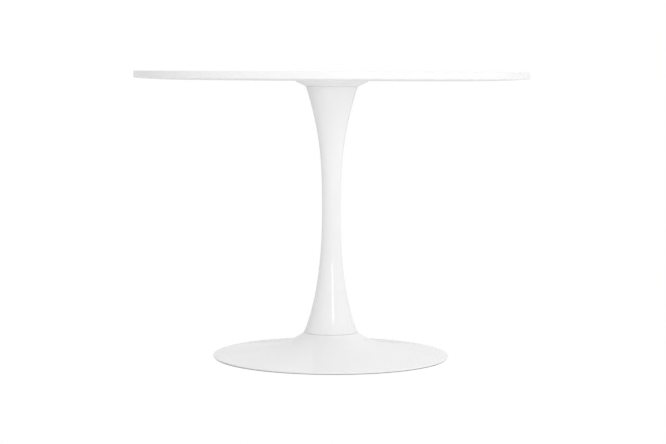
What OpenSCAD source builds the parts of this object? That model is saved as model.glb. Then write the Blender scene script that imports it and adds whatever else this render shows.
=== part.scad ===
// Round dining table: a board on a trumpet-shaped steel column and a dished steel foot.
// One long rod down the middle draws the board's mounting plate, the column and the foot together.
// The origin is on the floor under the column's axis, +Z points up, and all sizes are in millimetres.

/* [Tabletop] */
// Height of the tabletop's upper face above the floor
table_h = 750; // [730:5:780]
// Diameter of the tabletop
top_d = 1030; // [900:10:1200]
// Thickness of the board in the middle
top_t = 23; // [21:1:28]
// Width of the bevel that thins the board towards its edge
bevel_w = 122; // [80:2:160]
// How far the bevel has risen where it meets the edge
bevel_rise = 5; // [2:0.5:7]
// Radius of the board's lower edge
edge_r = 4; // [2:0.5:5]
// Radius of the fine arris along the upper edge
arris_r = 0.8; // [0.4:0.1:1.5]

/* [Collar] */
// Height of the collar between the column and the tabletop
collar_h = 16; // [16:0.5:20]
// Diameter of the collar where it meets the tabletop
collar_d = 198; // [194:1:230]
// Diameter of the collar where it meets the column
collar_foot_d = 140; // [138:0.5:144]

/* [Column] */
// Diameter of the column's head, under the collar
head_d = 136.4; // [132:0.2:138]
// Diameter of the column at its waist
waist_d = 48.6; // [44:0.2:56]
// Diameter of the column's foot, on the base
foot_d = 142.4; // [138:0.2:146]
// Height of the waist above the floor
waist_z = 375; // [340:5:420]
// Lean of the column's wall at its head, from upright, in degrees
head_lean = 18; // [12:1:22]
// Lean of the column's wall at its foot, from upright, in degrees
foot_lean = 24; // [18:1:28]
// Height of the base's neck, on which the column stands
neck_z = 66; // [62:1:72]

/* [Base] */
// Diameter of the base over its rim
base_d = 618; // [590:2:660]
// Height of the rim's upper edge above the floor
rim_z = 8; // [7:0.5:9]
// Thickness of the rim's rolled bead
rim_t = 5; // [4:0.5:5.5]
// Fall of the base's flare at its rim, as height over length
flare_slope = 0.1; // [0.09:0.01:0.12]
// Radius at which the flare would stand upright
flare_focus = 25; // [15:1:30]

/* [Sheet metal] */
// Wall of the column
stem_wall = 2; // [1.5:0.25:2.5]
// Wall of the base shell and of the collar
shell_wall = 2; // [1.5:0.25:2.25]

/* [Tie rod] */
// Diameter of the tie rod
rod_d = 12; // [10:1:14]
// Radius of the spigots that centre the shells on one another
spigot_r = 44.7; // [40:0.1:46]

/* [Ballast] */
// Diameter of the ballast plate
ballast_d = 500; // [470:5:504]
// Thickness of the ballast plate
ballast_t = 6; // [5:0.5:6]
// Height of the ballast plate's underside above the floor
ballast_z = 6.5; // [6.5:0.1:7]
// Diameter of the spanner hole in the ballast plate
access_d = 108; // [90:2:108]

/* [Levelling feet] */
// Number of levelling feet
foot_count = 6; // [4:1:8]
// Radius of the circle on which the feet stand
foot_ring_r = 225; // [190:1:226]
// Diameter of a foot's glide
pad_d = 34; // [28:1:40]
// Height of a foot's glide
pad_h = 5.8; // [5.6:0.1:5.9]
// Diameter of a foot's threaded stud
stud_d = 8; // [6:1:8]

/* [Board screws] */
// Number of screws that hold the mounting plate
screw_count = 8; // [6:1:10]
// Radius of the circle of those screws
screw_ring_r = 70; // [69:0.5:71]

/* [Hidden] */
// Roundness of large and small turned parts
$fn = 96;
curve_steps = 14;
arc_steps = 5;

// Heights of the joints between the pieces
board_z = table_h - top_t;
head_z = board_z - collar_h;
web_z = neck_z - shell_wall;
ballast_top_z = ballast_z + ballast_t;

// Radii of the profiles
top_r = top_d / 2;
flat_r = top_r - bevel_w;
rim_r = base_d / 2;
bead_r = rim_t / 2;
flare_end_r = rim_r - bead_r;
neck_r = foot_d / 2;

// Lengths of the straight pulls that shape the column's curves
column_h = head_z - neck_z;
head_pull = 0.197 * column_h;
waist_pull_up = 0.206 * column_h;
waist_pull_down = 0.186 * column_h;
foot_pull = 0.12 * column_h;

// Sheet and plate details
lip_t = 2.5;
seam_r = 1;
seam_cut = 0.3;
hem_w = 12;
end_plate_t = 6;
end_plate_gap = 8;
mount_plate_r = 84;
mount_plate_t = 5;
mount_ring_r = 60;
mount_ring_bore_r = 30;
mouth_edge = 1.5 * shell_wall;
spigot_play = 0.3;
bore_r = spigot_r + spigot_play;
spigot_gap = 0.2;

// How far cutters and hidden joints run past a face
over = 1;

// Fasteners
thread_fit = 0.05;
rod_r = rod_d / 2;
rod_hole_r = rod_r + 1;
rod_end_z = 36;
rod_top_gap = 3;
rod_chamfer = 1.2;
nut_flats = 1.58 * rod_d;
nut_h = 10;
clamp_washer_r = 18;
clamp_washer_t = 3;
clamp_washer_play = 0.6;
spring_washer_t = 2.5;
spring_washer_play = 0.4;
spring_wire = 4.1;
spring_split = 1.5;
insert_r = 5;
insert_h = 13;
screw_r = 3;
screw_head_r = 5.5;
screw_head_h = 4;
screw_head_chamfer = 0.8;
screw_hole_play = 0.3;
screw_l = 17;
socket_flats = 4;
socket_depth = 2;
washer_r = 6;
washer_t = 1.2;
washer_play = 0.2;

// Base hub
hub_r = 58;
hub_wall = 3;
hub_web_t = 6;

// Access cap
cap_face_t = 1.5;
cap_lip = 3;
cap_wall = 3;
cap_play = 0.2;
cap_plug_gap = 0.5;

// Feet
stud_r = stud_d / 2;
stud_top_z = 15.9;
stud_point = 1;
stud_collar_r = stud_r + 2;
stud_collar_h = 1.8;
stud_play = 0.1;
sole_t = 2;
key_hole_r = 2.5;
key_flats = 4;
key_depth = 5;
pad_round = 1.2;

foot_ids = [for (i = [1:foot_count]) i];

// ---------- Curves ----------

// A point on a cubic curve from a to d, pulled towards b and then c
function bezier(a, b, c, d, t) =
    pow(1 - t, 3) * a + 3 * pow(1 - t, 2) * t * b + 3 * (1 - t) * t * t * c + pow(t, 3) * d;

// Points of an arc about centre, with the angles in degrees
function arc(centre, r, from, to) =
    [for (i = [0:arc_steps]) centre + r * [cos(from + (to - from) * i / arc_steps),
                                           sin(from + (to - from) * i / arc_steps)]];

function reversed(list) = [for (i = [len(list) - 1:-1:0]) list[i]];

// Depth of the board below its upper face at radius r, on the bevel
function bevel_depth(r) = top_t - bevel_rise * pow((r - flat_r) / bevel_w, 2);

// Height of the base's outer face at radius r: a shallow cone that turns up into the neck
flare_pull = (neck_z - rim_z - flare_slope * (flare_end_r - neck_r))
    / (1 / (neck_r - flare_focus) - 1 / (flare_end_r - flare_focus));
function flare_z(r) = rim_z + flare_slope * (flare_end_r - r)
    + flare_pull * (1 / (r - flare_focus) - 1 / (flare_end_r - flare_focus));

// Radii of the flare's points, closer together where it turns up
flare_radii = [for (i = [0:curve_steps]) neck_r + (flare_end_r - neck_r) * pow(i / curve_steps, 2)];

// The column's outer line from its foot to its waist, and from its waist to its head
foot_curve = [for (i = [0:curve_steps]) bezier(
    [neck_r, neck_z],
    [neck_r - foot_pull * sin(foot_lean), neck_z + foot_pull * cos(foot_lean)],
    [waist_d / 2, waist_z - waist_pull_down],
    [waist_d / 2, waist_z],
    i / curve_steps)];
head_curve = [for (i = [0:curve_steps]) bezier(
    [waist_d / 2, waist_z],
    [waist_d / 2, waist_z + waist_pull_up],
    [head_d / 2 - head_pull * sin(head_lean), head_z - head_pull * cos(head_lean)],
    [head_d / 2, head_z],
    i / curve_steps)];
// The two curves share the waist, and the seams' small rounds take the place of their end points
column_line = concat(
    [for (i = [1:curve_steps]) foot_curve[i]],
    [for (i = [1:curve_steps - 1]) head_curve[i]]
);

// ---------- Shared shapes ----------

// A flat ring: outer radius, bore radius, height
module ring(r, bore, h) {
    difference() {
        cylinder(r = r, h = h);
        translate([0, 0, -over])
            cylinder(r = bore, h = h + 2 * over);
    }
}

// Copies of the children spread evenly on a circle
module around(count, r) {
    for (i = [0:count - 1])
        rotate([0, 0, 360 * i / count])
            translate([r, 0, 0])
                children();
}

// A hexagon nut with a plain bore
module hex_nut(flats, bore, h) {
    difference() {
        cylinder(d = flats / cos(30), h = h, $fn = 6);
        translate([0, 0, -over])
            cylinder(r = bore, h = h + 2 * over);
    }
}

// ---------- Board and its fixing ----------

// Lacquered board with a bevelled underside, and blind holes for the inserts
module tabletop() {
    corner_r = top_r - edge_r;
    outline = concat(
        [[0, board_z]],
        [for (i = [0:curve_steps])
            let (r = flat_r + (corner_r - flat_r) * i / curve_steps)
            [r, table_h - bevel_depth(r)]],
        arc([corner_r, table_h - bevel_depth(corner_r) + edge_r], edge_r, -80, 0),
        arc([top_r - arris_r, table_h - arris_r], arris_r, 0, 90),
        [[0, table_h]]
    );
    color("#f7f7f5")
        difference() {
            rotate_extrude($fn = 180)
                polygon(outline);
            around(screw_count, screw_ring_r)
                translate([0, 0, board_z - over])
                    cylinder(r = insert_r + thread_fit, h = insert_h + over);
        }
}

// Threaded inserts pressed into the underside of the board
module insert_nuts() {
    color("goldenrod")
        around(screw_count, screw_ring_r)
            translate([0, 0, board_z])
                ring(insert_r, screw_r + thread_fit, insert_h);
}

// Round plate with a welded ring and spigot that centre and press on the collar
module mounting_plate() {
    plate_z = board_z - mount_plate_t;
    flange_z = head_z + shell_wall;
    spigot_z = head_z - lip_t + spigot_gap;
    color("dimgray")
        difference() {
            union() {
                translate([0, 0, plate_z])
                    cylinder(r = mount_plate_r, h = mount_plate_t);
                translate([0, 0, flange_z])
                    cylinder(r = mount_ring_r, h = plate_z - flange_z + over);
                translate([0, 0, spigot_z])
                    cylinder(r = spigot_r, h = flange_z - spigot_z + over);
            }
            translate([0, 0, spigot_z - over])
                cylinder(r = mount_ring_bore_r, h = plate_z - spigot_z + over);
            translate([0, 0, plate_z - over])
                cylinder(r = rod_hole_r, h = mount_plate_t + 2 * over);
            around(screw_count, screw_ring_r)
                translate([0, 0, plate_z - over])
                    cylinder(r = screw_r + screw_hole_play, h = mount_plate_t + 2 * over);
        }
}

// Nut welded under the middle of the plate, for the top of the tie rod
module rod_weld_nut() {
    color("silver")
        translate([0, 0, board_z - mount_plate_t - nut_h])
            hex_nut(nut_flats, rod_r + thread_fit, nut_h);
}

// Pan-head screws, driven up into the inserts
module plate_screws() {
    head_top_z = board_z - mount_plate_t - washer_t;
    color("silver")
        around(screw_count, screw_ring_r)
            translate([0, 0, head_top_z])
                difference() {
                    union() {
                        cylinder(r = screw_r, h = screw_l);
                        translate([0, 0, -screw_head_h])
                            cylinder(r1 = screw_head_r - screw_head_chamfer, r2 = screw_head_r,
                                h = screw_head_chamfer);
                        translate([0, 0, screw_head_chamfer - screw_head_h])
                            cylinder(r = screw_head_r, h = screw_head_h - screw_head_chamfer);
                    }
                    translate([0, 0, -screw_head_h - over])
                        cylinder(d = socket_flats / cos(30), h = socket_depth + over, $fn = 6);
                }
}

// Flat washers under the screws
module plate_washers() {
    color("gainsboro")
        around(screw_count, screw_ring_r)
            translate([0, 0, board_z - mount_plate_t - washer_t])
                ring(washer_r, screw_r + washer_play, washer_t);
}

// Spun cone that hides the plate, clamped by its flange on top of the column
module collar() {
    foot_r = collar_foot_d / 2;
    mouth_r = collar_d / 2;
    lean = (collar_h - seam_r) / (mouth_r - foot_r);
    inner_r = foot_r - shell_wall * lean;
    outline = [
        [bore_r, head_z],
        [foot_r - seam_r, head_z],
        [foot_r - seam_cut * seam_r, head_z + seam_cut * seam_r],
        [foot_r, head_z + seam_r],
        [mouth_r, board_z],
        [mouth_r - mouth_edge, board_z],
        [inner_r, head_z + shell_wall],
        [bore_r, head_z + shell_wall]
    ];
    color("#f2f2f0")
        rotate_extrude($fn = 144)
            polygon(outline);
}

// ---------- Column ----------

// Trumpet column in one piece, with its ends turned in to flat lips
module stem() {
    head_r = head_d / 2;
    inner_line = [for (p = reversed(column_line)) p - [stem_wall, 0]];
    outline = concat(
        [[bore_r, neck_z]],
        [[neck_r - seam_r, neck_z]],
        [[neck_r - seam_cut * seam_r, neck_z + seam_cut * seam_r]],
        [[neck_r - seam_r * tan(foot_lean), neck_z + seam_r]],
        column_line,
        [[head_r - seam_r * tan(head_lean), head_z - seam_r]],
        [[head_r - seam_r, head_z]],
        [[bore_r, head_z]],
        [[bore_r, head_z - lip_t]],
        [[head_r - 2 * stem_wall, head_z - lip_t]],
        inner_line,
        [[neck_r - 2 * stem_wall, neck_z + lip_t]],
        [[bore_r, neck_z + lip_t]]
    );
    color("#f2f2f0")
        rotate_extrude($fn = 144)
            polygon(outline);
}

// Disc welded under the column's upper lip, with a hole that steers the rod
module stem_head_plate() {
    color("darkgray")
        translate([0, 0, head_z - lip_t - end_plate_t])
            ring(head_d / 2 - end_plate_gap, rod_hole_r, end_plate_t);
}

// Disc welded on the column's lower lip, with a hole that steers the rod
module stem_foot_plate() {
    color("darkgray")
        translate([0, 0, neck_z + lip_t])
            ring(foot_d / 2 - end_plate_gap, rod_hole_r, end_plate_t);
}

// Threaded rod from the plate's nut down to the clamp nut
module tie_rod() {
    length = board_z - rod_top_gap - rod_end_z;
    color("silver")
        translate([0, 0, rod_end_z]) {
            cylinder(r1 = rod_r - rod_chamfer, r2 = rod_r, h = rod_chamfer);
            translate([0, 0, rod_chamfer])
                cylinder(r = rod_r, h = length - 2 * rod_chamfer);
            translate([0, 0, length - rod_chamfer])
                cylinder(r1 = rod_r, r2 = rod_r - rod_chamfer, h = rod_chamfer);
        }
}

// ---------- Base ----------

// Spun foot: a flat neck flange, the flare, a rolled bead and a hem folded flat under the rim
module base_shell() {
    hem_r = rim_r - hem_w;
    outer_line = [for (r = flare_radii) if (r > neck_r + seam_r) [r, flare_z(r)]];
    inner_line = [for (p = reversed(outer_line)) if (p[0] < hem_r) p - [0, shell_wall]];
    outline = concat(
        [[bore_r, neck_z]],
        [[neck_r - 2 * seam_cut * seam_r, neck_z]],
        [[neck_r + seam_cut * seam_r, neck_z - (1 - seam_cut) * seam_r]],
        outer_line,
        arc([flare_end_r, rim_z - bead_r], bead_r, 75, -90),
        [[hem_r, rim_z - rim_t]],
        [[hem_r, flare_z(hem_r) - shell_wall]],
        inner_line,
        [[neck_r - shell_wall, web_z]],
        [[bore_r, web_z]]
    );
    color("#f2f2f0")
        rotate_extrude($fn = 180)
            polygon(outline);
}

// Welded tube and web under the neck, which lift the ballast plate and take the clamp nut
module base_hub() {
    spigot_top_z = neck_z + lip_t - spigot_gap;
    color("dimgray")
        difference() {
            union() {
                translate([0, 0, ballast_top_z])
                    cylinder(r = hub_r, h = web_z - ballast_top_z);
                translate([0, 0, web_z - over])
                    cylinder(r = spigot_r, h = spigot_top_z - web_z + over);
            }
            translate([0, 0, ballast_top_z - over])
                cylinder(r = hub_r - hub_wall, h = web_z - hub_web_t - ballast_top_z + over);
            translate([0, 0, web_z - hub_web_t - over])
                cylinder(r = rod_hole_r, h = hub_web_t + spigot_top_z - web_z + 2 * over);
        }
}

// Heavy disc inside the base, with a spanner hole and a tapped hole over each foot
module ballast_plate() {
    color("dimgray")
        translate([0, 0, ballast_z])
            difference() {
                cylinder(d = ballast_d, h = ballast_t, $fn = 180);
                translate([0, 0, -over])
                    cylinder(d = access_d, h = ballast_t + 2 * over);
                around(foot_count, foot_ring_r)
                    translate([0, 0, -over])
                        cylinder(r = stud_r + thread_fit, h = ballast_t + 2 * over);
            }
}

// Push-in cap over the spanner hole
module access_cap() {
    plug_r = access_d / 2 - cap_play;
    color("#3a3a3a")
        translate([0, 0, ballast_z - cap_face_t]) {
            cylinder(r = plug_r + cap_lip, h = cap_face_t);
            translate([0, 0, cap_face_t])
                ring(plug_r, plug_r - cap_wall, ballast_t - cap_plug_gap);
        }
}

// Thick washer that spreads the nut's force over the hub's web
module clamp_washer() {
    color("gainsboro")
        translate([0, 0, web_z - hub_web_t - clamp_washer_t])
            ring(clamp_washer_r, rod_r + clamp_washer_play, clamp_washer_t);
}

// Split spring washer between the thick washer and the nut
module spring_washer() {
    color("silver")
        translate([0, 0, web_z - hub_web_t - clamp_washer_t - spring_washer_t])
            difference() {
                ring(rod_r + spring_washer_play + spring_wire, rod_r + spring_washer_play,
                    spring_washer_t);
                translate([rod_r, -spring_split / 2, -over])
                    cube([spring_wire + 2 * over, spring_split, spring_washer_t + 2 * over]);
            }
}

// Nut that draws the whole table together from below
module clamp_nut() {
    color("silver")
        translate([0, 0, web_z - hub_web_t - clamp_washer_t - spring_washer_t - nut_h])
            hex_nut(nut_flats, rod_r + thread_fit, nut_h);
}

// ---------- Levelling feet ----------

// Places one foot's pieces over its spot on the floor
module at_foot(i) {
    rotate([0, 0, 360 * (i - 1) / foot_count])
        translate([foot_ring_r, 0, 0])
            children();
}

// Moulded glide with a pocket that holds the stud's collar, and a key hole through its sole
module foot_pad(i) {
    neck_hole_r = stud_r + thread_fit;
    pocket_r = stud_collar_r + thread_fit;
    pocket_top_z = sole_t + stud_collar_h + 2 * stud_play;
    outline = concat(
        [[key_hole_r, 0]],
        arc([pad_d / 2 - pad_round, pad_round], pad_round, -90, 0),
        arc([pad_d / 2 - 2 * pad_round, pad_h - 2 * pad_round], 2 * pad_round, 0, 90),
        [[neck_hole_r, pad_h]],
        [[neck_hole_r, pocket_top_z]],
        [[pocket_r, pocket_top_z]],
        [[pocket_r, sole_t]],
        [[key_hole_r, sole_t]]
    );
    color("#2c2c2e")
        at_foot(i)
            rotate_extrude($fn = 64)
                polygon(outline);
}

// Stud with a collar that turns in the glide, and a key socket in its lower end
module foot_stud(i) {
    stud_z = sole_t + stud_play;
    color("silver")
        at_foot(i)
            difference() {
                union() {
                    translate([0, 0, stud_z])
                        cylinder(r = stud_collar_r, h = stud_collar_h);
                    translate([0, 0, stud_z])
                        cylinder(r = stud_r, h = stud_top_z - stud_z - stud_point);
                    translate([0, 0, stud_top_z - stud_point])
                        cylinder(r1 = stud_r, r2 = stud_r - stud_point, h = stud_point);
                }
                translate([0, 0, stud_z - over])
                    cylinder(d = key_flats / cos(30), h = key_depth + over, $fn = 6);
            }
}

tabletop();
insert_nuts();
mounting_plate();
rod_weld_nut();
plate_screws();
plate_washers();
collar();
stem();
stem_head_plate();
stem_foot_plate();
tie_rod();
base_shell();
base_hub();
ballast_plate();
access_cap();
clamp_washer();
spring_washer();
clamp_nut();
for (i = foot_ids) {
    foot_pad(i);
    foot_stud(i);
}
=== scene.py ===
"""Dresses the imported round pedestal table.

The outer shells, the fasteners and the levelling feet are turned again as smooth, detailed solids,
every piece gets the finish of its real material, and a plain white studio stands round the table.
All sizes are in metres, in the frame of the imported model, with the floor at z = 0.
"""

import logging
import math
from collections.abc import Callable, Sequence
from dataclasses import dataclass, field
from enum import Enum

import bpy
from mathutils import Matrix, Vector


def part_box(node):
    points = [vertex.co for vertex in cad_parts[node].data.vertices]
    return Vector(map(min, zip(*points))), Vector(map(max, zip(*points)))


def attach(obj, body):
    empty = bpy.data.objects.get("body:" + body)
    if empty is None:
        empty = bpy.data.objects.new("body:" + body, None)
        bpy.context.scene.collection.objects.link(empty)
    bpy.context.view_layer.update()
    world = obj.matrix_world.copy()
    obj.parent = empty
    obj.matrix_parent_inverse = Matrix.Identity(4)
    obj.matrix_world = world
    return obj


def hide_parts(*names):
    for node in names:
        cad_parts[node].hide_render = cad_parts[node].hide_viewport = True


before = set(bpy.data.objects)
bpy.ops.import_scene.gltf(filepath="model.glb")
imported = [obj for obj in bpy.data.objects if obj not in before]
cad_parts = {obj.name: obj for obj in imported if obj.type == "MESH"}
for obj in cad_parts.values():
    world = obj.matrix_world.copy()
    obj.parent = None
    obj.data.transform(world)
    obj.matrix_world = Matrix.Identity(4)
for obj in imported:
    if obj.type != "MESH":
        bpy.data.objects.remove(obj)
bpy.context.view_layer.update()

MM = 0.001
FRAME_BODY = "table_frame"
SHARP_EDGE_DEG = 32.0
# How many faces go round the wide shells, and round the column and its collar
WIDE_STEPS = 360
TUBE_STEPS = 256
# The innermost ring of a wide disc, which a fan closes
DISC_HUB = 0.02
# The hexagon nuts at the two ends of the tie rod
NUT_FLATS = 0.019
NUT_BORE = 0.00605

log = logging.getLogger("pedestal_table")

Law = Callable[[float], float]
Point = tuple[float, float]


# ---------------------------------------------------------------- lines and laws


def linear_rgba(code: str) -> tuple[float, float, float, float]:
    """Turns an sRGB hex colour into linear light.

    Args:
        code: the colour as six hex digits.

    Returns:
        Red, green, blue and an alpha of one, as shader nodes want them.
    """
    parts = [int(code[i:i + 2], 16) / 255 for i in (0, 2, 4)]
    lit = [c / 12.92 if c <= 0.04045 else ((c + 0.055) / 1.055) ** 2.4 for c in parts]
    return (lit[0], lit[1], lit[2], 1.0)


def arc(centre: Point, radius: float, start: float, end: float, steps: int = 8) -> list[Point]:
    """Points along an arc.

    Args:
        centre: the arc's centre, as radius from the axis and height.
        radius: the arc's own radius.
        start: its first angle in degrees, counted from straight outward towards straight up.
        end: its last angle in degrees.
        steps: how many stretches it is cut into.

    Returns:
        The points from the first angle to the last.
    """
    angles = [math.radians(start + (end - start) * i / steps) for i in range(steps + 1)]
    return [(centre[0] + radius * math.cos(a), centre[1] + radius * math.sin(a)) for a in angles]


def bezier(a: Point, b: Point, c: Point, d: Point, steps: int) -> list[Point]:
    """Points along a cubic curve.

    Args:
        a: the first end.
        b: what the curve is pulled towards as it leaves a.
        c: what it is pulled towards as it reaches d.
        d: the last end.
        steps: how many stretches it is cut into.

    Returns:
        The points from a to d.
    """
    points = []
    for i in range(steps + 1):
        t = i / steps
        weights = ((1 - t) ** 3, 3 * (1 - t) ** 2 * t, 3 * (1 - t) * t * t, t ** 3)
        points.append(tuple(sum(w * p[k] for w, p in zip(weights, (a, b, c, d))) for k in (0, 1)))
    return points


def hexagon(flats: float, limit: float = math.inf) -> Law:
    """The radius law of a hexagon.

    Args:
        flats: the distance across its flats.
        limit: the radius at which a chamfer cuts off its corners.

    Returns:
        A function from the angle in radians to the radius.
    """
    sixth = math.pi / 3

    def law(angle: float) -> float:
        """Radius at one angle."""
        off = (angle % sixth) - sixth / 2
        return min(flats / 2 / math.cos(off), limit)

    return law


def fluted(radius: float, depth: float, count: int) -> Law:
    """The radius law of a rim with rounded flutes.

    Args:
        radius: the largest radius.
        depth: how deep the flutes are.
        count: how many there are.

    Returns:
        A function from the angle in radians to the radius.
    """
    return lambda angle: radius - depth * (0.5 - 0.5 * math.cos(count * angle)) ** 2


@dataclass(frozen=True)
class Thread:
    """A rolled metric thread. Its crest is the nominal radius."""

    radius: float
    pitch: float
    steps_a_turn: int = 8

    def ring(self, height: float, fade: float) -> tuple[Law, float]:
        """One ring of the thread.

        Args:
            height: the ring's height.
            fade: from 0, where the thread hasn't begun, to 1, where it is at its full depth.

        Returns:
            The ring's radius law and its height.
        """
        depth = 0.6 * self.pitch * fade

        def law(angle: float) -> float:
            """Radius at one angle: the groove is a rounded V."""
            turn = (height / self.pitch - angle / (2 * math.pi)) % 1.0
            return self.radius - depth * (0.5 - 0.5 * math.cos(2 * math.pi * turn)) ** 0.8

        return law, height

    def rings(self, low: float, high: float, fade_low: bool, fade_high: bool) -> list[tuple[Law, float]]:
        """The rings of a threaded stretch, which runs out over one and a half turns where it fades.

        Args:
            low: the height where the stretch begins.
            high: the height where it ends.
            fade_low: whether the thread runs out at its lower end.
            fade_high: whether it runs out at its upper end.

        Returns:
            The rings from low to high.
        """
        count = max(2, round((high - low) / self.pitch * self.steps_a_turn))
        run = 1.5 * self.pitch
        rings = []
        for i in range(count + 1):
            height = low + (high - low) * i / count
            fade = 1.0
            if fade_low:
                fade = min(fade, (height - low) / run)
            if fade_high:
                fade = min(fade, (high - height) / run)
            rings.append(self.ring(height, fade))
        return rings


@dataclass(frozen=True)
class Circle:
    """Equal pieces spread on a circle about the Z axis, the first of them towards +X."""

    count: int
    radius: float

    def spot(self, number: int) -> Matrix:
        """The move that takes a piece from the axis to its place, counted from 0."""
        turn = Matrix.Rotation(2 * math.pi * number / self.count, 4, "Z")
        return turn @ Matrix.Translation((self.radius, 0, 0))


BOARD_SCREWS = Circle(8, 0.070)
FEET = Circle(6, 0.225)


# ---------------------------------------------------------------- solids


@dataclass
class Solid:
    """A closed mesh in the making."""

    verts: list[Vector] = field(default_factory=list)
    faces: list[tuple[int, ...]] = field(default_factory=list)

    @classmethod
    def turned(
        cls, rings: Sequence[tuple[Law | float, Law | float]], steps: int, closed: bool = True
    ) -> "Solid":
        """Turns an outline about the Z axis.

        Args:
            rings: the outline's points, each a radius and a height, and each of those a number or
                a law that gives it at every angle. A closed outline runs anticlockwise, with the
                axis on its left.
            steps: how many faces go round.
            closed: whether the outline is a loop. If not, its two ends are capped on the axis.

        Returns:
            The turned solid.
        """
        made = cls()
        for radius, height in rings:
            for j in range(steps):
                angle = 2 * math.pi * j / steps
                r = radius(angle) if callable(radius) else radius
                z = height(angle) if callable(height) else height
                made.verts.append(Vector((r * math.cos(angle), r * math.sin(angle), z)))
        count = len(rings)
        for i in range(count if closed else count - 1):
            low, high = i * steps, (i + 1) % count * steps
            for j in range(steps):
                k = (j + 1) % steps
                made.faces.append((low + j, low + k, high + k, high + j))
        if not closed:
            made.cap(0, steps, up=False)
            made.cap((count - 1) * steps, steps, up=True)
        return made

    def cap(self, first: int, steps: int, up: bool) -> None:
        """Closes a ring with a fan about its middle.

        Args:
            first: the number of the ring's first vertex.
            steps: how many vertices the ring has.
            up: whether the cap faces up.
        """
        ring = range(first, first + steps)
        self.verts.append(sum((self.verts[i] for i in ring), Vector()) / steps)
        middle = len(self.verts) - 1
        for j in range(steps):
            a, b = first + j, first + (j + 1) % steps
            self.faces.append((a, b, middle) if up else (b, a, middle))

    def moved(self, matrix: Matrix) -> "Solid":
        """A copy of this solid, moved by a matrix."""
        return Solid([matrix @ v for v in self.verts], list(self.faces))

    def around(self, circle: Circle) -> "Solid":
        """Copies of this solid spread on a circle.

        Args:
            circle: how many copies there are, and how far from the axis.

        Returns:
            All the copies as one mesh of separate shells.
        """
        made = Solid()
        for number in range(circle.count):
            made.add(self.moved(circle.spot(number)))
        return made

    def add(self, other: "Solid") -> None:
        """Takes another solid's shells into this mesh."""
        base = len(self.verts)
        self.verts += other.verts
        self.faces += [tuple(base + i for i in face) for face in other.faces]

    def piece(
        self, name: str, material: bpy.types.Material, body: str, slot: str, *nodes: str
    ) -> bpy.types.Object:
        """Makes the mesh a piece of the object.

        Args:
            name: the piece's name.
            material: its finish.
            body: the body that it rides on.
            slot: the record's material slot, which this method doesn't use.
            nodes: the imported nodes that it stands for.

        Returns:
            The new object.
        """
        mesh = bpy.data.meshes.new(name)
        mesh.from_pydata(self.verts, [], self.faces)
        mesh.validate()
        mesh.polygons.foreach_set("use_smooth", [True] * len(mesh.polygons))
        mesh.set_sharp_from_angle(angle=math.radians(SHARP_EDGE_DEG))
        mesh.materials.append(material)
        piece = bpy.data.objects.new(name, mesh)
        bpy.context.scene.collection.objects.link(piece)
        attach(piece, body)
        if nodes:
            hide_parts(*nodes)
        log.info("%s: %d faces on %s", name, len(mesh.polygons), body)
        return piece


def weld_bead(radius: float, height: float, size: float, outward: int, upward: int) -> Solid:
    """A fillet weld laid round a corner between a tube and a plate.

    Args:
        radius: the corner's radius.
        height: the corner's height.
        size: the weld's leg length.
        outward: 1 if the weld lies outside the corner's radius, -1 if inside.
        upward: 1 if it lies above the corner's height, -1 if below.

    Returns:
        A ring of overlapping ripples.
    """
    ripple = 1.6 * size
    steps_a_ripple = 6
    count = max(12, round(2 * math.pi * radius / ripple))

    def leg(angle: float) -> float:
        """The leg length at one angle, which swells with each ripple."""
        return size * (0.86 + 0.14 * math.cos(count * angle))

    def law(start: float, sign: int, share: float) -> Law:
        """One coordinate of one corner of the bead's section."""
        return lambda angle: start + sign * leg(angle) * share

    section = [(0.0, 0.0), (1.0, 0.0), (0.82, 0.4), (0.55, 0.55), (0.4, 0.82), (0.0, 1.0)]
    if outward * upward < 0:
        section.reverse()
    rings = [(law(radius, outward, a), law(height, upward, b)) for a, b in section]
    return Solid.turned(rings, count * steps_a_ripple)


def hex_nut(flats: float, bore: float, low: float, height: float) -> Solid:
    """A hexagon nut with chamfered corners and a countersunk bore.

    Args:
        flats: the distance across its flats.
        bore: the bore's radius.
        low: the height of its lower face.
        height: how high it is.

    Returns:
        The nut, about the Z axis.
    """
    corner = flats / 2 / math.cos(math.pi / 6)
    drop = (corner - flats / 2) * math.tan(math.radians(30))
    lip = 0.06 * flats
    face = 0.46 * flats
    chamfer = [(hexagon(flats, flats / 2 + (corner - flats / 2) * s), drop * s) for s in (0, 0.35, 0.7, 1)]
    rings = [(bore, low + lip), (bore + lip, low), (face, low)]
    rings += [(law, low + rise) for law, rise in chamfer]
    rings += [(law, low + height - rise) for law, rise in reversed(chamfer)]
    rings += [(face, low + height), (bore + lip, low + height), (bore, low + height - lip)]
    return Solid.turned(rings, 72)


def washer(radius: float, bore: float, low: float, height: float) -> Solid:
    """A stamped washer: its lower edges are rolled over by the die, its upper ones are crisp.

    Args:
        radius: its outer radius.
        bore: the bore's radius.
        low: the height of its lower face.
        height: its thickness.

    Returns:
        The washer, about the Z axis.
    """
    die = 0.35 * height
    burr = 0.06 * height
    top = low + height
    outer = arc((radius - die, low + die), die, -90, 0, 4) + [(radius, top - burr), (radius - burr, top)]
    inner = [(bore + burr, top), (bore, top - burr)] + arc((bore + die, low + die), die, 180, 270, 4)
    return Solid.turned(outer + inner, 64)


# ---------------------------------------------------------------- finishes


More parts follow.
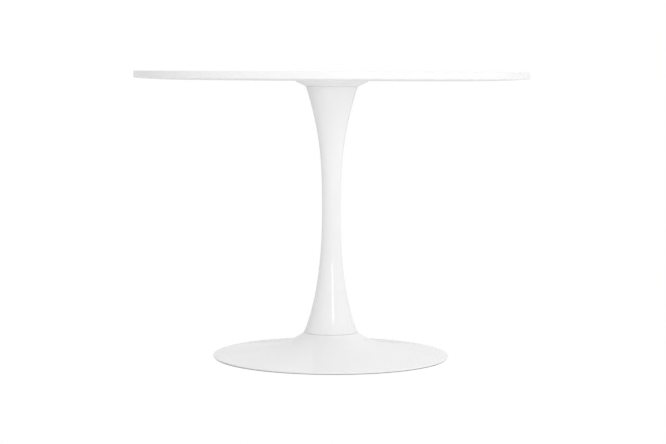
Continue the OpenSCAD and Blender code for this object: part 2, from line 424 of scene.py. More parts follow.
def add_node(
    tree: bpy.types.NodeTree,
    kind: str,
    settings: dict[str | int, object] | None = None,
    links: dict[str | int, bpy.types.NodeSocket] | None = None,
) -> bpy.types.Node:
    """Adds a node with its settings and links.

    Args:
        tree: the node tree that it goes in.
        kind: the node's type name.
        settings: values by input name or number, or else by property name.
        links: the sockets that feed its inputs, by input name or number.

    Returns:
        The new node.
    """
    node = tree.nodes.new(kind)
    for key, value in (settings or {}).items():
        if isinstance(key, str) and hasattr(node, key):
            setattr(node, key, value)
        else:
            node.inputs[key].default_value = value
    for key, socket in (links or {}).items():
        tree.links.new(socket, node.inputs[key])
    return node


def per_metre(spacing_mm: float) -> float:
    """The scale that gives a pattern this spacing, in millimetres, on coordinates in metres."""
    return 1000.0 / spacing_mm


@dataclass(frozen=True)
class Finish:
    """A surface: a base colour that drifts a little, with its own gloss and its own fine relief."""

    name: str
    slot: str
    base: str
    drift: str
    drift_mm: float
    gloss_low: float
    gloss_high: float
    gloss_mm: float
    relief_mm: float
    relief_depth_mm: float
    ior: float = 1.5
    metallic: float = 0.0

    def relief(self, tree: bpy.types.NodeTree, where: bpy.types.NodeSocket) -> bpy.types.NodeSocket:
        """The height pattern of the surface.

        Args:
            tree: the material's node tree.
            where: the coordinates in metres.

        Returns:
            A socket that gives heights from 0 to 1.
        """
        noise = add_node(
            tree,
            "ShaderNodeTexNoise",
            {"Scale": per_metre(self.relief_mm), "Detail": 2.0, "Roughness": 0.45},
            {"Vector": where},
        )
        return noise.outputs["Fac"]

    def material(self) -> bpy.types.Material:
        """Makes the finish as a node material, or gives the one already made.

        Returns:
            The material.
        """
        made = bpy.data.materials.get(self.name)
        if made:
            return made
        made = bpy.data.materials.new(self.name)
        made.use_nodes = True
        tree = made.node_tree
        tree.nodes.clear()
        where = add_node(tree, "ShaderNodeTexCoord").outputs["Object"]
        cloud = add_node(
            tree,
            "ShaderNodeTexNoise",
            {"Scale": per_metre(self.drift_mm), "Detail": 3.0, "Roughness": 0.5},
            {"Vector": where},
        )
        colour = add_node(
            tree,
            "ShaderNodeMix",
            {"data_type": "RGBA", 6: linear_rgba(self.base), 7: linear_rgba(self.drift)},
            {0: cloud.outputs["Fac"]},
        )
        smear = add_node(
            tree,
            "ShaderNodeTexNoise",
            {"Scale": per_metre(self.gloss_mm), "Detail": 4.0, "Roughness": 0.6},
            {"Vector": where},
        )
        gloss = add_node(
            tree,
            "ShaderNodeMapRange",
            {"From Min": 0.3, "From Max": 0.7, "To Min": self.gloss_low, "To Max": self.gloss_high},
            {"Value": smear.outputs["Fac"]},
        )
        bump = add_node(
            tree,
            "ShaderNodeBump",
            {"Strength": 1.0, "Distance": self.relief_depth_mm * MM},
            {"Height": self.relief(tree, where)},
        )
        shader = add_node(
            tree,
            "ShaderNodeBsdfPrincipled",
            {"Metallic": self.metallic, "IOR": self.ior},
            {
                "Base Color": colour.outputs[2],
                "Roughness": gloss.outputs["Result"],
                "Normal": bump.outputs["Normal"],
            },
        )
        add_node(tree, "ShaderNodeOutputMaterial", None, {"Surface": shader.outputs["BSDF"]})
        return made


@dataclass(frozen=True)
class RolledSteel(Finish):
    """Hot-rolled steel as it leaves the mill: its fine lines run one way, under dull grey scale.

    The lines are drawn coarser than real ones, so that they show.
    """

    stretch: float = 30.0

    def relief(self, tree: bpy.types.NodeTree, where: bpy.types.NodeSocket) -> bpy.types.NodeSocket:
        """Rolling lines, stretched along X.

        Args:
            tree: the material's node tree.
            where: the coordinates in metres.

        Returns:
            A socket that gives heights from 0 to 1.
        """
        drawn = add_node(
            tree, "ShaderNodeMapping", {"Scale": (1.0 / self.stretch, 1.0, 1.0)}, {"Vector": where}
        )
        lines = add_node(
            tree,
            "ShaderNodeTexNoise",
            {"Scale": per_metre(self.relief_mm), "Detail": 3.0, "Roughness": 0.6},
            {"Vector": drawn.outputs["Vector"]},
        )
        return lines.outputs["Fac"]


@dataclass(frozen=True)
class SparkGrain(Finish):
    """Plastic from a spark-eroded mould: small rounded grains all over, which scatter the gloss.

    The grains are drawn several times as coarse as real ones, so that they show.
    """

    def relief(self, tree: bpy.types.NodeTree, where: bpy.types.NodeSocket) -> bpy.types.NodeSocket:
        """Rounded grains.

        Args:
            tree: the material's node tree.
            where: the coordinates in metres.

        Returns:
            A socket that gives heights from 0 to 1.
        """
        grains = add_node(
            tree,
            "ShaderNodeTexVoronoi",
            {"feature": "SMOOTH_F1", "Scale": per_metre(self.relief_mm), "Smoothness": 0.6},
            {"Vector": where},
        )
        return grains.outputs["Distance"]


class Surface(Enum):
    """The finishes on this table."""

    # Polyurethane sprayed on fibreboard and polished: an even white whose soft gloss spreads the lamps
    # along the edge, with the faint long waves that the polisher leaves.
    BOARD_LACQUER = Finish(
        "polished_white_lacquer", "lacquered_board", "F5F5F5", "F3F3F3", 180.0,
        0.20, 0.26, 60.0, 30.0, 0.006, ior=1.5,
    )
    # Polyester powder, charged, dusted on and baked: a hard gloss with a fine orange peel.
    POWDER_COAT = Finish(
        "glossy_white_powder_coat", "powder_coat", "F3F3F3", "F1F1F1", 140.0,
        0.05, 0.08, 45.0, 2.4, 0.003, ior=1.5,
    )
    # Black primer laid on by dipping: thin, dull, and a little streaked where it drained.
    DIPPED_PRIMER = Finish(
        "dipped_black_primer", "primer_steel", "26272A", "303134", 60.0,
        0.45, 0.62, 18.0, 1.2, 0.02, ior=1.48,
    )
    # Hot-rolled plate, left bare inside the table: grey scale with faint rolling lines.
    MILL_SCALE = RolledSteel(
        "bare_rolled_steel", "mill_steel", "7C7D80", "66676B", 30.0,
        0.38, 0.55, 12.0, 0.8, 0.01, metallic=0.85,
    )
    # Bright zinc from a barrel bath: soft silver with tiny dents where the pieces knocked together.
    BRIGHT_ZINC = Finish(
        "bright_zinc_plate", "zinc_plate", "C9CCD1", "BBBEC5", 6.0,
        0.24, 0.36, 4.0, 1.0, 0.008, metallic=1.0,
    )
    # Zinc with a yellow chromate bath after it: straw gold that shifts towards a faint pink.
    YELLOW_ZINC = Finish(
        "yellow_chromate_zinc", "yellow_zinc", "D8BE72", "CFA97E", 3.0,
        0.28, 0.38, 4.0, 1.0, 0.008, metallic=1.0,
    )
    # Polyethylene from a grained mould: waxy black, soft highlights.
    MOULDED_POLYETHYLENE = SparkGrain(
        "moulded_black_polyethylene", "black_polyethylene", "1D1E20", "232426", 12.0,
        0.48, 0.58, 8.0, 0.7, 0.03, ior=1.51,
    )
    # Nylon from a finer mould: denser black, a little glossier where it slides on floors.
    MOULDED_NYLON = SparkGrain(
        "moulded_black_nylon", "black_nylon", "17181A", "1D1E20", 9.0,
        0.34, 0.44, 6.0, 0.5, 0.02, ior=1.53,
    )
    # Weld metal as it cooled: rippled, brown-grey, half shiny.
    WELD_METAL = Finish(
        "cooled_weld_metal", "mill_steel", "6E6A66", "585450", 3.0,
        0.35, 0.5, 3.0, 0.6, 0.03, metallic=0.9,
    )

    def piece(self, solid: Solid, name: str, body: str, *nodes: str) -> bpy.types.Object:
        """Makes a solid a piece with this finish.

        Args:
            solid: the shape.
            name: the piece's name.
            body: the body that it rides on.
            nodes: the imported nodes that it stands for.

        Returns:
            The new object.
        """
        return solid.piece(name, self.value.material(), body, self.value.slot, *nodes)

    def dress(self, node: str) -> None:
        """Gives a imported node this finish. Its shape is right as it is.

        Args:
            node: the node's name.
        """
        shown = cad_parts[node]
        shown.data.materials.clear()
        shown.data.materials.append(self.value.material())
        log.info("%s: dressed as it is", node)


# ---------------------------------------------------------------- the table


@dataclass
class Board:
    """The lacquered board, and the threaded inserts in its underside."""

    bevel_width: float = 0.122
    bevel_rise: float = 0.005
    lower_edge: float = 0.004
    edge_start_deg: float = -82.0
    arris: float = 0.0008
    insert_flange: float = 0.0006

    def build(self) -> None:
        """Builds the board and its inserts."""
        low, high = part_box("tabletop")
        rim = high.x
        flat = rim - self.bevel_width
        corner = rim - self.lower_edge
        steps = 24
        bevel = [flat + (corner - flat) * i / steps for i in range(steps + 1)]

        def under(radius: float) -> float:
            """Height of the underside at one radius."""
            return low.z + self.bevel_rise * ((radius - flat) / self.bevel_width) ** 2

        outline = [(DISC_HUB, low.z), (0.5 * flat, low.z)] + [(radius, under(radius)) for radius in bevel]
        round_middle = (corner, under(corner) + self.lower_edge)
        outline += arc(round_middle, self.lower_edge, self.edge_start_deg, 0, 10)
        outline += arc((rim - self.arris, high.z - self.arris), self.arris, 0, 90, 6)
        outline += [(0.7 * rim, high.z), (0.35 * rim, high.z), (DISC_HUB, high.z)]
        board = Solid.turned(outline, WIDE_STEPS, closed=False)
        Surface.BOARD_LACQUER.piece(board, "board", FRAME_BODY, "tabletop")
        self.build_inserts()

    def build_inserts(self) -> None:
        """Builds the inserts: a knurled sleeve with a thin flange flush with the board."""
        low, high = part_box("insert_nuts")
        radius = high.x - BOARD_SCREWS.radius
        bore = radius - 1.95 * MM
        groove = radius - 0.9 * MM
        knurl_depth, knurl_count = 0.35 * MM, 24
        knurl = fluted(radius, knurl_depth, knurl_count)
        flange_top = low.z + self.insert_flange
        middle = (low.z + high.z) / 2
        lead = 0.3 * MM
        gap = 0.8 * MM
        rings = [(bore, high.z), (bore, low.z + lead), (bore + lead, low.z), (radius, low.z)]
        rings += [(radius, flange_top), (knurl, flange_top + 0.1 * MM)]
        rings += [(knurl, middle - gap), (groove, middle - gap)]
        rings += [(groove, middle + gap), (knurl, middle + gap)]
        rings += [(knurl, high.z - gap), (groove, high.z)]
        sleeves = Solid.turned(rings, 4 * knurl_count).around(BOARD_SCREWS)
        Surface.YELLOW_ZINC.piece(sleeves, "threaded_inserts", FRAME_BODY, "insert_nuts")


@dataclass
class TopFixing:
    """The plate that carries the board, its screws and nut, and the collar that hides them."""

    plate_ring: float = 0.060
    ring_weld: float = 0.003
    nut_weld: float = 0.002
    socket_flats: float = 0.004
    socket_depth: float = 0.0022
    screw_thread: Thread = Thread(0.003, 0.001)
    collar_foot: float = 0.070
    collar_wall: float = 0.002
    collar_bore: float = 0.045
    collar_lip: float = 0.0007
    seam: float = 0.0013

    def build(self) -> None:
        """Builds every piece between the column and the board."""
        self.build_collar()
        self.build_screws()
        low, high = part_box("rod_weld_nut")
        nut = hex_nut(NUT_FLATS, NUT_BORE, low.z, high.z - low.z)
        Surface.BRIGHT_ZINC.piece(nut, "rod_nut", FRAME_BODY, "rod_weld_nut")
        Surface.MILL_SCALE.dress("mounting_plate")
        plate_under = high.z
        bead = weld_bead(self.plate_ring, plate_under, self.ring_weld, 1, -1)
        nut_corner = NUT_FLATS / 2 + 1.3 * MM
        bead.add(weld_bead(nut_corner, plate_under, self.nut_weld, 1, -1))
        Surface.WELD_METAL.piece(bead, "plate_welds", FRAME_BODY)

    def build_collar(self) -> None:
        """Builds the spun cone, with soft edges at its foot and mouth."""
        low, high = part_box("collar")
        mouth, foot = high.x, self.collar_foot
        lean = (high.z - low.z - self.seam) / (mouth - foot)
        face_deg = math.degrees(math.atan(lean)) - 90
        inner_foot = foot - self.collar_wall * lean
        inner_mouth = mouth - 3.2 * MM
        lip = self.collar_lip
        floor = low.z + self.collar_wall
        outline = [(self.collar_bore, low.z)]
        outline += arc((foot - self.seam, low.z + self.seam), self.seam, -90, face_deg + 20, 5)
        outline += arc((mouth - lip, high.z - 0.9 * lip), lip, face_deg + 10, 70, 5)
        outline += [(inner_mouth, high.z), (inner_foot, floor), (self.collar_bore, floor)]
        Surface.POWDER_COAT.piece(Solid.turned(outline, TUBE_STEPS), "collar_cone", FRAME_BODY, "collar")

    def build_screws(self) -> None:
        """Builds the pan-head screws with their sockets and threads, and the washers under them."""
        low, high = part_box("plate_screws")
        washer_low, washer_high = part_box("plate_washers")
        seat = washer_low.z
        head = high.x - BOARD_SCREWS.radius
        crown = 1.4 * MM
        nick = 0.2 * MM
        point = 0.8 * MM
        socket = hexagon(self.socket_flats)
        socket_floor = low.z + self.socket_depth
        shank = self.screw_thread
        rings = [(0.3 * MM, socket_floor), (socket, socket_floor), (socket, low.z)]
        rings += arc((head - crown, low.z + crown), crown, -90, 0, 6)
        rings += [(head, seat - nick), (head - nick, seat)]
        rings += shank.rings(seat, high.z - point, True, False)
        rings += [(shank.radius - 0.9 * MM, high.z)]
        screws = Solid.turned(rings, 48, closed=False).around(BOARD_SCREWS)
        Surface.BRIGHT_ZINC.piece(screws, "board_screws", FRAME_BODY, "plate_screws")
        outer, bore = washer_high.x - BOARD_SCREWS.radius, shank.radius + 0.2 * MM
        washers = washer(outer, bore, seat, washer_high.z - seat).around(BOARD_SCREWS)
        Surface.BRIGHT_ZINC.piece(washers, "board_washers", FRAME_BODY, "plate_washers")


@dataclass
class Column:
    """The trumpet column, the discs welded in its ends, and the rod down its middle."""

    head_radius: float = 0.0682
    waist_radius: float = 0.0243
    foot_radius: float = 0.0712
    waist_height: float = 0.375
    head_lean: float = math.radians(18)
    foot_lean: float = math.radians(24)
    head_pull: float = 0.197
    waist_pull_up: float = 0.206
    waist_pull_down: float = 0.186
    foot_pull: float = 0.12
    wall: float = 0.002
    lip: float = 0.0025
    bore: float = 0.045
    seam: float = 0.0015
    head_weld: float = 0.0025
    foot_weld: float = 0.0018
    line_steps: int = 90
    rod_thread: Thread = Thread(0.006, 0.00175)
    threaded_end: float = 0.060

    def outer_line(self, low: float, high: float) -> list[Point]:
        """The column's outer line, from its foot to its head.

        Args:
            low: the height of its foot.
            high: the height of its head.

        Returns:
            Points from foot to head. The ends are left to the seams' rounds.
        """
        tall = high - low
        waist = (self.waist_radius, self.waist_height)
        foot, head = (self.foot_radius, low), (self.head_radius, high)
        foot_to = (foot[0] - self.foot_pull * tall * math.sin(self.foot_lean),
                   low + self.foot_pull * tall * math.cos(self.foot_lean))
        head_to = (head[0] - self.head_pull * tall * math.sin(self.head_lean),
                   high - self.head_pull * tall * math.cos(self.head_lean))
        below = (waist[0], waist[1] - self.waist_pull_down * tall)
        above = (waist[0], waist[1] + self.waist_pull_up * tall)
        lower = bezier(foot, foot_to, below, waist, self.line_steps)
        upper = bezier(waist, above, head_to, head, self.line_steps)
        spared = 1.5 * self.seam
        return [p for p in lower[:-1] + upper if low + spared < p[1] < high - spared]

    def build(self) -> None:
        """Builds the column and everything in it."""
        low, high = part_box("stem")
        line = self.outer_line(low.z, high.z)
        inner = [(r - self.wall, z) for r, z in reversed(line) if low.z + self.lip < z < high.z - self.lip]
        foot_middle = (self.foot_radius - 1.75 * self.seam, low.z + self.seam)
        head_middle = (self.head_radius - 1.4 * self.seam, high.z - self.seam)
        outline = [(self.bore, low.z)] + arc(foot_middle, self.seam, -90, 20, 7) + line
        outline += arc(head_middle, self.seam, -12, 90, 7)
        outline += [(self.bore, high.z), (self.bore, high.z - self.lip)]
        outline += [(self.head_radius - 2 * self.wall, high.z - self.lip)] + inner
        outline += [(self.foot_radius - 2 * self.wall, low.z + self.lip), (self.bore, low.z + self.lip)]
        Surface.POWDER_COAT.piece(Solid.turned(outline, TUBE_STEPS), "column", FRAME_BODY, "stem")
        for node in ("stem_head_plate", "stem_foot_plate"):
            Surface.MILL_SCALE.dress(node)
        head_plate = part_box("stem_head_plate")[1]
        foot_low, foot_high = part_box("stem_foot_plate")
        beads = weld_bead(head_plate.x, head_plate.z, self.head_weld, 1, -1)
        beads.add(weld_bead(foot_high.x, foot_low.z, self.foot_weld, 1, 1))
        Surface.WELD_METAL.piece(beads, "column_welds", FRAME_BODY)
        self.build_rod()

    def build_rod(self) -> None:
        """Builds the tie rod, threaded at both ends and drawn smooth between them."""
        low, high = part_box("tie_rod")
        thread = self.rod_thread
        point = 1.2 * MM
        drawn = thread.radius - 0.45 * MM
        tip = thread.radius - 1.5 * MM
        rings = [(tip, low.z)]
        rings += thread.rings(low.z + point, low.z + self.threaded_end, False, True)
        rings += [(drawn, low.z + self.threaded_end + point), (drawn, high.z - self.threaded_end - point)]
        rings += thread.rings(high.z - self.threaded_end, high.z - point, True, False)
        rings += [(tip, high.z)]
        Surface.BRIGHT_ZINC.piece(Solid.turned(rings, 32, closed=False), "draw_rod", FRAME_BODY, "tie_rod")


@dataclass
class Base:
    """The dished foot, the ballast inside it, and the nut stack that clamps it to the column."""

    neck_radius: float = 0.0712
    flare_slope: float = 0.1
    flare_focus: float = 0.025
    rim_height: float = 0.008
    bead: float = 0.0025
    hem: float = 0.012
    wall: float = 0.002
    bore: float = 0.045
    seam: float = 0.001
    hub_radius: float = 0.058
    hub_weld: float = 0.004
    thick_washer_bore: float = 0.0066
    spring_bore: float = 0.0064
    split_deg: float = 9.0
    cap_skirt: float = 0.003
    cap_dish: float = 0.030
    cap_ridge: float = 0.0315

    def flare(self, radius: float, neck: float, end: float) -> float:
        """Height of the flare's outer face.

        Args:
            radius: where the height is wanted.
            neck: the height of the neck.
            end: the radius where the flare meets the rim's bead.

        Returns:
            The height at that radius.
        """
        def pull(at: float) -> float:
            """How hard the flare turns up at one radius."""
            return 1 / (at - self.flare_focus) - 1 / (end - self.flare_focus)

        straight = self.flare_slope * (end - self.neck_radius)
        share = (neck - self.rim_height - straight) / pull(self.neck_radius)
        return self.rim_height + self.flare_slope * (end - radius) + share * pull(radius)

    def build(self) -> None:
        """Builds the base and everything in it."""
        self.build_shell()
        for node in ("base_hub", "ballast_plate"):
            Surface.DIPPED_PRIMER.dress(node)
        plate_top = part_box("ballast_plate")[1].z
        bead = weld_bead(self.hub_radius, plate_top, self.hub_weld, 1, 1)
        Surface.DIPPED_PRIMER.piece(bead, "hub_weld", FRAME_BODY)
        self.build_clamp()
        self.build_cap()

    def build_shell(self) -> None:
        """Builds the spun shell, with its flange, flare, rolled bead and folded hem."""
        low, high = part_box("base_shell")
        rim = high.x
        end = rim - self.bead
        neck = high.z
        hem = rim - self.hem
        steps = 120
        radii = [self.neck_radius + (end - self.neck_radius) * (i / steps) ** 2 for i in range(steps + 1)]
        outer = [(r, self.flare(r, neck, end)) for r in radii if r > self.neck_radius + 0.7 * self.seam]
        inner = [(r, z - self.wall) for r, z in reversed(outer) if r < hem]
        outline = [(self.bore, neck)]
        outline += arc((self.neck_radius - 0.5 * self.seam, neck - self.seam), self.seam, 90, 42, 5)
        outline += outer[:-1] + arc((end, self.rim_height - self.bead), self.bead, 83, -90, 16)
        outline += [(hem, low.z), (hem, self.flare(hem, neck, end) - self.wall)] + inner
        outline += [(self.neck_radius - self.wall, neck - self.wall), (self.bore, neck - self.wall)]
        Surface.POWDER_COAT.piece(Solid.turned(outline, WIDE_STEPS), "base_dish", FRAME_BODY, "base_shell")

    def build_clamp(self) -> None:
        """Builds the clamp nut, the split spring washer and the thick washer."""
        low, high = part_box("clamp_nut")
        nut = hex_nut(NUT_FLATS, NUT_BORE, low.z, high.z - low.z)
        Surface.BRIGHT_ZINC.piece(nut, "draw_nut", FRAME_BODY, "clamp_nut")
        low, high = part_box("clamp_washer")
        disc = washer(high.x, self.thick_washer_bore, low.z, high.z - low.z)
        Surface.BRIGHT_ZINC.piece(disc, "thick_washer", FRAME_BODY, "clamp_washer")
        low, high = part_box("spring_washer")
        ring = self.split_ring(low.z, high.z, -low.x)
        Surface.BRIGHT_ZINC.piece(ring, "lock_washer", FRAME_BODY, "spring_washer")

    def split_ring(self, low: float, high: float, radius: float) -> Solid:
        """A spring washer: a square wire wound into one turn, with its two ends cut square.

        Args:
            low: the height of its lower face.
            high: the height of its upper face.
            radius: its outer radius.

        Returns:
            The washer, about the Z axis.
        """
        bore = self.spring_bore
        soft = 0.3 * MM
        corners = [(bore + soft, low), (radius - soft, low), (radius, low + soft), (radius, high - soft),
                   (radius - soft, high), (bore + soft, high), (bore, high - soft), (bore, low + soft)]
        steps = 72
        first = math.radians(self.split_deg / 2)
        made = Solid()
        for i in range(steps + 1):
            angle = first + (2 * math.pi - 2 * first) * i / steps
            made.verts += [Vector((r * math.cos(angle), r * math.sin(angle), z)) for r, z in corners]
        count = len(corners)
        for i in range(steps):
            for j in range(count):
                k = (j + 1) % count
                a, b = i * count, (i + 1) * count
                made.faces.append((a + j, b + j, b + k, a + k))
        made.faces.append(tuple(range(count)))
        made.faces.append(tuple(reversed(range(steps * count, (steps + 1) * count))))
        return made

    def build_cap(self) -> None:
        """Builds the push-in cap: a dished face with a raised rim, and a skirt with a snap bead."""
        low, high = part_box("access_cap")
        plate_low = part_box("ballast_plate")[0].z
        radius = high.x
        skirt = radius - self.cap_skirt
        hub = 2 * MM
        soft = 0.5 * MM
        sunk = low.z + 0.4 * MM
        ridge_end = self.cap_ridge + 2 * MM
        outline = [(hub, low.z + soft), (self.cap_dish, low.z + soft), (self.cap_ridge, low.z)]
        outline += [(ridge_end, low.z), (ridge_end + 1.5 * MM, sunk), (radius - 5 * MM, sunk)]
        outline += arc((radius - soft, low.z + soft), soft, -90, 40, 5)
        outline += [(radius, plate_low), (skirt, plate_low), (skirt, plate_low + 4.6 * MM)]
        outline += [(skirt + 0.12 * MM, plate_low + 5.0 * MM), (skirt - 0.9 * MM, high.z)]
        outline += [(skirt - 2.2 * MM, high.z), (skirt - 2.6 * MM, plate_low + 0.4 * MM)]
        outline += [(skirt - 3.2 * MM, plate_low), (hub, plate_low)]
        Surface.MOULDED_POLYETHYLENE.piece(
            Solid.turned(outline, 144, closed=False), "spanner_hole_cap", FRAME_BODY, "access_cap"
        )


@dataclass
class LevellingFoot:
    """One screw-in foot: a glide that stands on the floor, and the stud that turns in it."""

    number: int
    sole: float = 0.002
    key_hole: float = 0.0025
    key_flats: float = 0.004
    key_depth: float = 0.005
    collar_height: float = 0.0018
    fit: float = 0.00005
    stud_thread: Thread = Thread(0.004, 0.00125)

    @property
    def spot(self) -> Matrix:
        """The move that takes this foot from the axis to its place."""
        return FEET.spot(self.number - 1)

    def build(self) -> None:
        """Builds the glide and the stud."""
        self.build_glide()
        self.build_stud()

    def build_glide(self) -> None:
        """Builds the glide: a fluted grip, a crowned sole with a shallow groove, and a snap pocket."""
        node = f"foot_pad_{self.number}"
        low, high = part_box(node)
        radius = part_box("foot_pad_1")[1].x - FEET.radius
        neck = self.stud_thread.radius + self.fit
        pocket = self.stud_thread.radius + 2 * MM + self.fit
        ceiling = self.sole + self.collar_height + 0.2 * MM
        soft = 1.2 * MM
        deep = 0.4 * MM
        groove_in, groove_out = radius - 6 * MM, radius - 4 * MM
        flute_depth, flute_count = 0.5 * MM, 18
        grip = fluted(radius, flute_depth, flute_count)
        rings = [(self.key_hole, low.z), (groove_in, low.z), (groove_in + deep, low.z + deep)]
        rings += [(groove_out - deep, low.z + deep), (groove_out, low.z), (radius - 2 * soft, low.z)]
        rings += [(radius - 0.6 * soft, low.z + 0.3 * soft), (grip, low.z + soft)]
        rings += [(grip, high.z - 2.2 * soft), (radius - 0.5 * soft, high.z - 1.5 * soft)]
        rings += arc((radius - 2 * soft, high.z - 2 * soft), 2 * soft, 50, 90, 5)
        rings += [(neck, high.z), (neck, ceiling), (pocket, ceiling), (pocket, self.sole)]
        rings += [(self.key_hole, self.sole)]
        glide = Solid.turned(rings, 8 * flute_count).moved(self.spot)
        Surface.MOULDED_NYLON.piece(glide, f"glide_{self.number}", f"glide_{self.number}", node)

    def build_stud(self) -> None:
        """Builds the stud: a collar that snaps into the glide, a rolled thread and a key socket."""
        node = f"foot_stud_{self.number}"
        low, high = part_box(node)
        thread = self.stud_thread
        collar = thread.radius + 2 * MM
        socket = hexagon(self.key_flats)
        soft = 0.3 * MM
        collar_top = low.z + self.collar_height
        key_floor = low.z + self.key_depth
        rings = [(0.3 * MM, key_floor), (socket, key_floor), (socket, low.z)]
        rings += [(collar - soft, low.z), (collar, low.z + soft), (collar, collar_top - soft)]
        rings += [(collar - soft, collar_top), (thread.radius - 0.4 * MM, collar_top)]
        rings += thread.rings(collar_top + 0.2 * MM, high.z - MM, True, False)
        rings += [(thread.radius - 1.3 * MM, high.z)]
        stud = Solid.turned(rings, 48, closed=False).moved(self.spot)
        Surface.BRIGHT_ZINC.piece(stud, f"levelling_stud_{self.number}", f"stud_{self.number}", node)


# ---------------------------------------------------------------- the studio


@dataclass
class Lamp:
    """A softbox: a flat rectangle of even light, which the camera doesn't see.

    A fill lamp leaves no reflection of itself in the gloss.
    """

    name: str
    at: tuple[float, float, float]
    aim: tuple[float, float, float]
    width: float
    height: float
    watts: float
    fill: bool = True

    def build(self) -> None:
        """Hangs the softbox and turns it towards its aim."""
        light = bpy.data.lights.new(self.name, "AREA")
        light.shape = "RECTANGLE"
        light.size, light.size_y = self.width, self.height
        light.energy = self.watts
        lamp = bpy.data.objects.new(self.name, light)
        lamp.location = self.at
        lamp.rotation_euler = (Vector(self.aim) - Vector(self.at)).to_track_quat("-Z", "Y").to_euler()
        lamp.visible_camera = False
        lamp.visible_glossy = not self.fill
        bpy.context.scene.collection.objects.link(lamp)


@dataclass
class Room:
    """The room that lights the table: six soft walls, which the camera doesn't see."""

    right: float = 0.407
    left: float = 0.405
    back: float = 0.882
    front: float = 0.526
    ceiling: float = 1.133
    ground: float = 0.0

    def build(self) -> None:
        """Makes the world. In any direction it blends the walls by the squares of that direction."""
        world = bpy.data.worlds.new("studio_room")
        bpy.context.scene.world = world
        world.use_nodes = True
        tree = world.node_tree
        tree.nodes.clear()
        plus = (self.right, self.back, self.ceiling)
        minus = (self.left, self.front, self.ground)
        half = tuple((p - m) / 2 for p, m in zip(plus, minus))
        middle = tuple((p + m) / 2 for p, m in zip(plus, minus))
        way = add_node(tree, "ShaderNodeTexCoord").outputs["Generated"]
        square = add_node(tree, "ShaderNodeVectorMath", {"operation": "MULTIPLY"}, {0: way, 1: way})
        sign = add_node(tree, "ShaderNodeVectorMath", {"operation": "SIGN"}, {0: way})
        wall = add_node(
            tree,
            "ShaderNodeVectorMath",
            {"operation": "MULTIPLY_ADD", 1: half, 2: middle},
            {0: sign.outputs["Vector"]},
        )
        level = add_node(
            tree,
            "ShaderNodeVectorMath",
            {"operation": "DOT_PRODUCT"},
            {0: square.outputs["Vector"], 1: wall.outputs["Vector"]},
        )
        glow = add_node(
            tree,
            "ShaderNodeBackground",
            {"Color": linear_rgba("FFFFFF")},
            {"Strength": level.outputs["Value"]},
        )
        add_node(tree, "ShaderNodeOutputWorld", None, {"Surface": glow.outputs["Background"]})


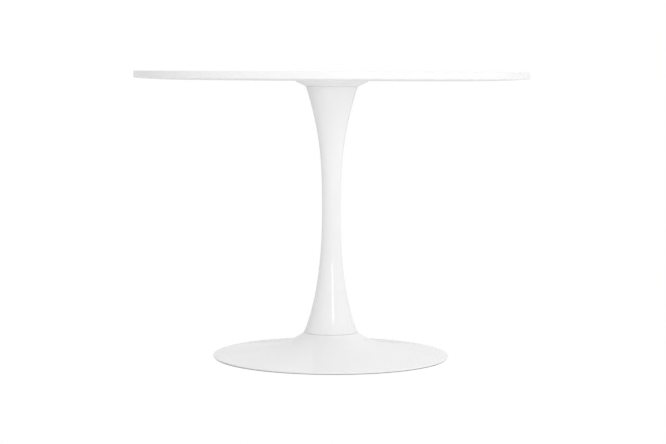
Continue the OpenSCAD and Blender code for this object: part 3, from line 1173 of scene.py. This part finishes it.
@dataclass
class Sweep:
    """A grey floor that bounces soft light, and the white that the camera sees in its place.

    Only the floor right under the foot's rim shows, as the thin shadow that grounds the table. The
    white's opening is a little wider from side to side, so that this shadow reaches round both sides.
    """

    floor_radius: float = 6.0
    white_from: float = 0.2965
    widened: float = 1.0285
    lift: float = 0.0004
    far_radius: float = 60.0
    floor_tone: str = "E5E5E5"
    steps: int = 128

    def build(self) -> None:
        """Lays the floor and puts up the white surround."""
        grey, white = linear_rgba(self.floor_tone), linear_rgba("FFFFFF")
        paper = self.plain_material("grey_paper", "ShaderNodeBsdfDiffuse", {"Color": grey})
        glow = self.plain_material("surround_glow", "ShaderNodeEmission", {"Color": white})
        floor = self.open_shell([(DISC_HUB, 0.0), (self.floor_radius, 0.0)])
        floor.cap(0, self.steps, up=True)
        self.stage_mesh("floor", floor, paper)
        far = self.far_radius
        line = [(self.white_from, self.lift), (0.5 * far, self.lift)]
        line += arc((0.0, self.lift), far, 0, 88, 24)
        dome = self.open_shell(line)
        dome.cap((len(line) - 1) * self.steps, self.steps, up=False)
        wider = Matrix.Diagonal((self.widened, 1, 1, 1))
        surround = self.stage_mesh("surround", dome.moved(wider), glow)
        for kind in ("diffuse", "glossy", "transmission", "volume_scatter", "shadow"):
            setattr(surround, f"visible_{kind}", False)

    def open_shell(self, line: list[Point]) -> Solid:
        """Turns an open line about the Z axis.

        Args:
            line: its points, each a radius and a height.

        Returns:
            The turned shell, without caps.
        """
        shell = Solid.turned(line, self.steps)
        shell.faces = shell.faces[:(len(line) - 1) * self.steps]
        return shell

    @staticmethod
    def plain_material(name: str, kind: str, settings: dict[str | int, object]) -> bpy.types.Material:
        """An even material for the stage.

        Args:
            name: the material's name.
            kind: the type of its one shader node.
            settings: that node's settings.

        Returns:
            The material.
        """
        made = bpy.data.materials.new(name)
        made.use_nodes = True
        tree = made.node_tree
        tree.nodes.clear()
        shader = add_node(tree, kind, settings)
        add_node(tree, "ShaderNodeOutputMaterial", None, {"Surface": shader.outputs[0]})
        return made

    @staticmethod
    def stage_mesh(name: str, solid: Solid, material: bpy.types.Material) -> bpy.types.Object:
        """Adds a mesh that isn't part of the table.

        Args:
            name: its name.
            solid: its shape.
            material: its material.

        Returns:
            The new object.
        """
        mesh = bpy.data.meshes.new(name)
        mesh.from_pydata(solid.verts, [], solid.faces)
        mesh.materials.append(material)
        made = bpy.data.objects.new(name, mesh)
        bpy.context.scene.collection.objects.link(made)
        log.info("%s: stage", name)
        return made


LAMPS: tuple[Lamp, ...] = (
    Lamp("low_softbox", (0.8, -4.0, 0.5), (0.0, 0.0, 0.4), 2.0, 0.8, 32.0),
    Lamp("left_softbox", (-3.2, -1.2, 1.4), (0.0, 0.0, 0.4), 1.6, 1.6, 9.8),
    Lamp("right_softbox", (3.4, 0.0, 1.4), (0.0, 0.0, 0.4), 1.6, 1.6, 22.0),
    Lamp("right_back_softbox", (2.4, 2.6, 1.6), (0.0, 0.0, 0.4), 1.6, 1.6, 19.0),
    Lamp("strip_softbox", (0.78, -3.4, 1.22), (0.78, 0.0, 1.22), 0.85, 1.4, 11.9, fill=False),
)


@dataclass
class ProductCamera:
    """A long lens at the height of the board's upper face, tilted down to take in the foot."""

    distance: float = 4.85
    above_board: float = 0.0010
    tilt: float = math.radians(4.652)
    turn: float = math.radians(0.0525)
    roll: float = math.radians(0.27)
    lens: float = 100.3

    def build(self) -> None:
        """Makes the camera and gives it to the scene."""
        camera = bpy.data.cameras.new("product_camera")
        camera.sensor_width = 36.0
        camera.lens = self.lens
        camera.clip_end = 200.0
        held = bpy.data.objects.new("product_camera", camera)
        bpy.context.scene.collection.objects.link(held)
        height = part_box("tabletop")[1].z + self.above_board
        look = Matrix.Rotation(-self.turn, 4, "Z") @ Matrix.Rotation(math.pi / 2 - self.tilt, 4, "X")
        held.matrix_world = (
            Matrix.Translation((0, -self.distance, height)) @ look @ Matrix.Rotation(self.roll, 4, "Z")
        )
        bpy.context.scene.camera = held


def main() -> None:
    """Builds the studio, then the table from the board down."""
    logging.basicConfig(level=logging.INFO, format="%(name)s: %(message)s")
    bpy.context.scene.view_settings.view_transform = "Standard"
    ProductCamera().build()
    Room().build()
    Sweep().build()
    for lamp in LAMPS:
        lamp.build()
    Board().build()
    TopFixing().build()
    Column().build()
    Base().build()
    for number in range(1, FEET.count + 1):
        LevellingFoot(number).build()


if __name__ == "__main__":
    main()
